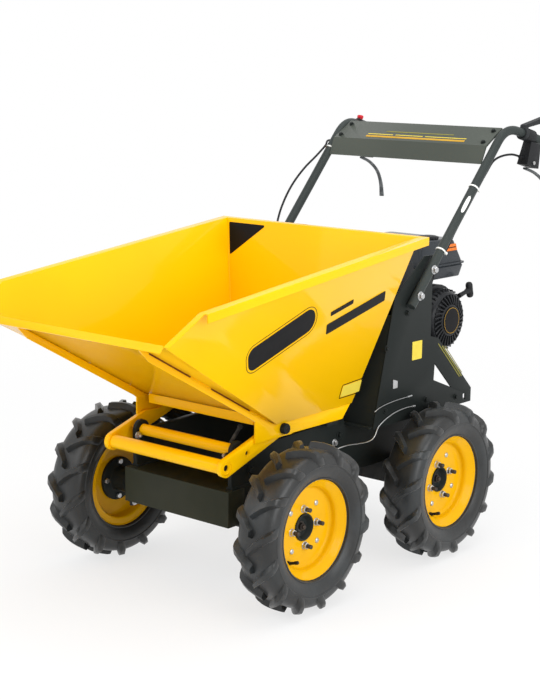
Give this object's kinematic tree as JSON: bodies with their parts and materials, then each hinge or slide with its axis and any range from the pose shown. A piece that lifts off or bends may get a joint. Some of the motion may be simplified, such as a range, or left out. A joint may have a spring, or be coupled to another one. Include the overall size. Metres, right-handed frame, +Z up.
{
  "type": "site dumper",
  "caption": "Walk-behind petrol site dumper: hollow steel skip tipping forward on a tip frame, four driven wheels, rear engine and two handlebars with levers.",
  "frame": {"origin": "on the ground, under the middle of the machine's bounding box in length and width", "axes": "+X forwards, towards the skip's lip; +Y to the machine's left, the side of the recoil starter; +Z up"},
  "size_m": [1.6382, 0.734, 1.1184],
  "materials": {
    "skip_yellow": "satin golden yellow paint",
    "rim_yellow": "satin golden yellow paint",
    "chassis_black": "semi-gloss black paint",
    "guard_olive": "satin dark olive paint",
    "console_grey": "satin grey paint with blank yellow strips",
    "cast_grey": "painted casting",
    "engine_black": "gloss black",
    "black_plastic": "moulded black",
    "bare_steel": "zinc plated",
    "switch_red": "red button",
    "cable_black": "sheathed cable",
    "tyre_rubber": "black tread rubber"
  },
  "bodies": {
    "chassis": {"air_filter": "black_plastic", "belt_cover": "engine_black", "brake_wire": "bare_steel", "cable_left": "cable_black", "cable_right": "cable_black", "clutch_lever_left": "cast_grey", "clutch_lever_right": "cast_grey", "console": "console_grey", "drive_lever": "cast_grey", "drive_shaft_tube": "cast_grey", "engine_block": "cast_grey", "engine_deck": "chassis_black", "engine_mount": "chassis_black", "engine_shield": "chassis_black", "fan_cowl": "engine_black", "frame_rail_left": "chassis_black", "frame_rail_right": "chassis_black", "front_axle_housing": "cast_grey", "front_guard": "guard_olive", "fuel_cap": "black_plastic", "fuel_tank": "engine_black", "gearbox": "cast_grey", "grip_left": "black_plastic", "grip_right": "black_plastic", "handle_tube_left": "chassis_black", "handle_tube_right": "chassis_black", "lever_perch_left": "black_plastic", "lever_perch_right": "black_plastic", "muffler": "cast_grey", "rear_axle_housing": "cast_grey", "recoil_starter": "engine_black", "side_plate_left": "chassis_black", "side_plate_right": "chassis_black", "starter_handle": "black_plastic", "stop_switch": "switch_red"},
    "tip_frame": {"front_tube": "skip_yellow", "pivot_tube": "skip_yellow", "skip_pin": "chassis_black", "tip_arm_left": "skip_yellow", "tip_arm_right": "skip_yellow"},
    "skip": {"skip_bracket_left": "skip_yellow", "skip_bracket_right": "skip_yellow", "skip_cross_member": "skip_yellow", "skip_floor": "skip_yellow", "skip_rear": "skip_yellow", "skip_side_left": "skip_yellow", "skip_side_right": "skip_yellow", "skip_slope": "skip_yellow"},
    "front_left_wheel": {"tyre_front_left": "tyre_rubber", "rim_front_left": "rim_yellow", "hub_front_left": "chassis_black"},
    "front_right_wheel": {"tyre_front_right": "tyre_rubber", "rim_front_right": "rim_yellow", "hub_front_right": "chassis_black"},
    "rear_left_wheel": {"tyre_rear_left": "tyre_rubber", "rim_rear_left": "rim_yellow", "hub_rear_left": "chassis_black"},
    "rear_right_wheel": {"tyre_rear_right": "tyre_rubber", "rim_rear_right": "rim_yellow", "hub_rear_right": "chassis_black"}
  },
  "joints": [
    {"name": "tip_frame_hinge", "type": "hinge", "parent": "chassis", "child": "tip_frame", "pos_m": [0.42184, 0, 0.369], "axis": [0, 1, 0], "range_deg": [0, 34]},
    {"name": "skip_hinge", "type": "hinge", "parent": "tip_frame", "child": "skip", "pos_m": [0.29984, 0, 0.408], "axis": [0, 1, 0], "range_deg": [0, 25]},
    {"name": "front_left_wheel_spin", "type": "hinge", "parent": "chassis", "child": "front_left_wheel", "pos_m": [0.35934, 0.312, 0.20189], "axis": [0, 1, 0], "continuous": true},
    {"name": "front_right_wheel_spin", "type": "hinge", "parent": "chassis", "child": "front_right_wheel", "pos_m": [0.35934, -0.312, 0.20189], "axis": [0, 1, 0], "continuous": true},
    {"name": "rear_left_wheel_spin", "type": "hinge", "parent": "chassis", "child": "rear_left_wheel", "pos_m": [-0.19566, 0.312, 0.20189], "axis": [0, 1, 0], "continuous": true},
    {"name": "rear_right_wheel_spin", "type": "hinge", "parent": "chassis", "child": "rear_right_wheel", "pos_m": [-0.19566, -0.312, 0.20189], "axis": [0, 1, 0], "continuous": true}
  ]
}
